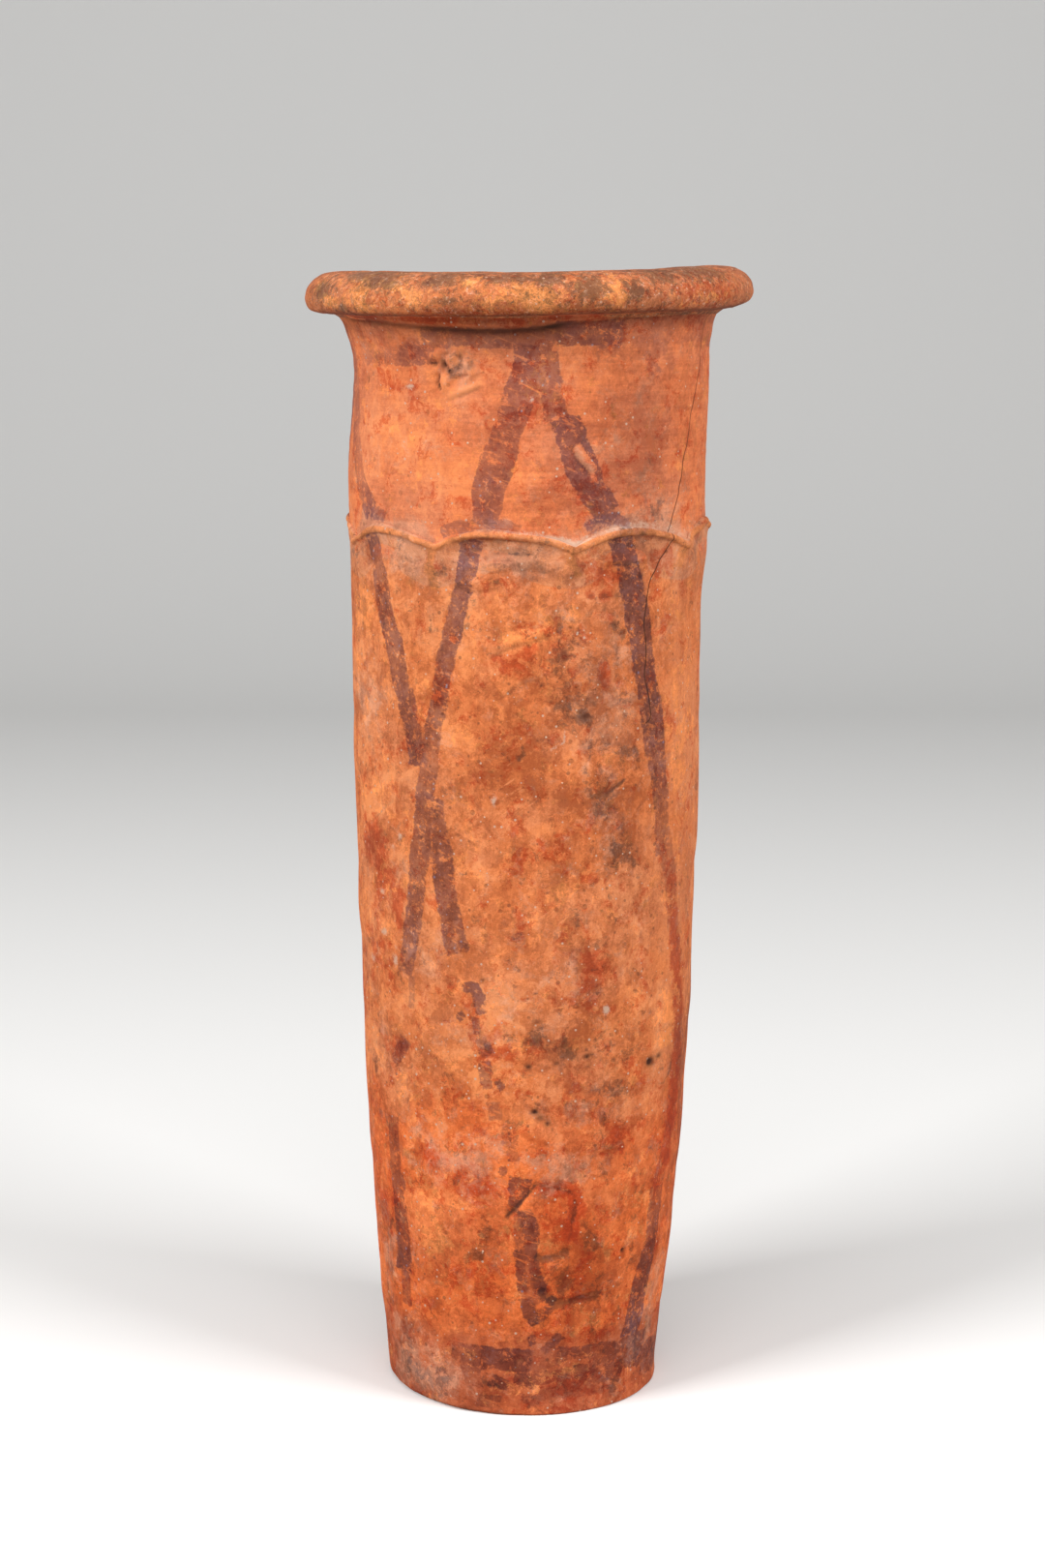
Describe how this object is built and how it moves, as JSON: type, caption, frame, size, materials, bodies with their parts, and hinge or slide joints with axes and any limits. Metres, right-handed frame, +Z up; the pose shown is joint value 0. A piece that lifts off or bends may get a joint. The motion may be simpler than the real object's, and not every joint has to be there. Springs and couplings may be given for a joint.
{
  "type": "tall earthenware jar",
  "caption": "Tall slim hand-built clay jar with a tapering wall, flat foot, smooth collar, scalloped raised band and thick rolled rim, for storing oil or fat.",
  "frame": {"origin": "on the resting plane, straight below the middle of the mouth", "axes": "+Z up out of the mouth; -Y is the front, with the painted crossing to its left; +X to the right of the front"},
  "size_m": [0.1088, 0.1088, 0.2812],
  "materials": {
    "foot_clay": "matt fired clay with worn dark red wash",
    "wall_clay": "matt fired clay, scraped and stained, with painted net strokes",
    "collar_clay": "matt fired clay, finely turned, with painted strokes",
    "band_clay": "matt fired clay with pale residue",
    "rim_clay": "matt fired clay, worn and soiled"
  },
  "bodies": {
    "root": {"base_pad": "foot_clay", "wall_coil_1": "wall_clay", "wall_coil_2": "wall_clay", "wall_coil_3": "wall_clay", "wall_coil_4": "wall_clay", "wall_coil_5": "wall_clay", "collar": "collar_clay", "wavy_band": "band_clay", "rim_roll": "rim_clay"}
  },
  "joints": []
}
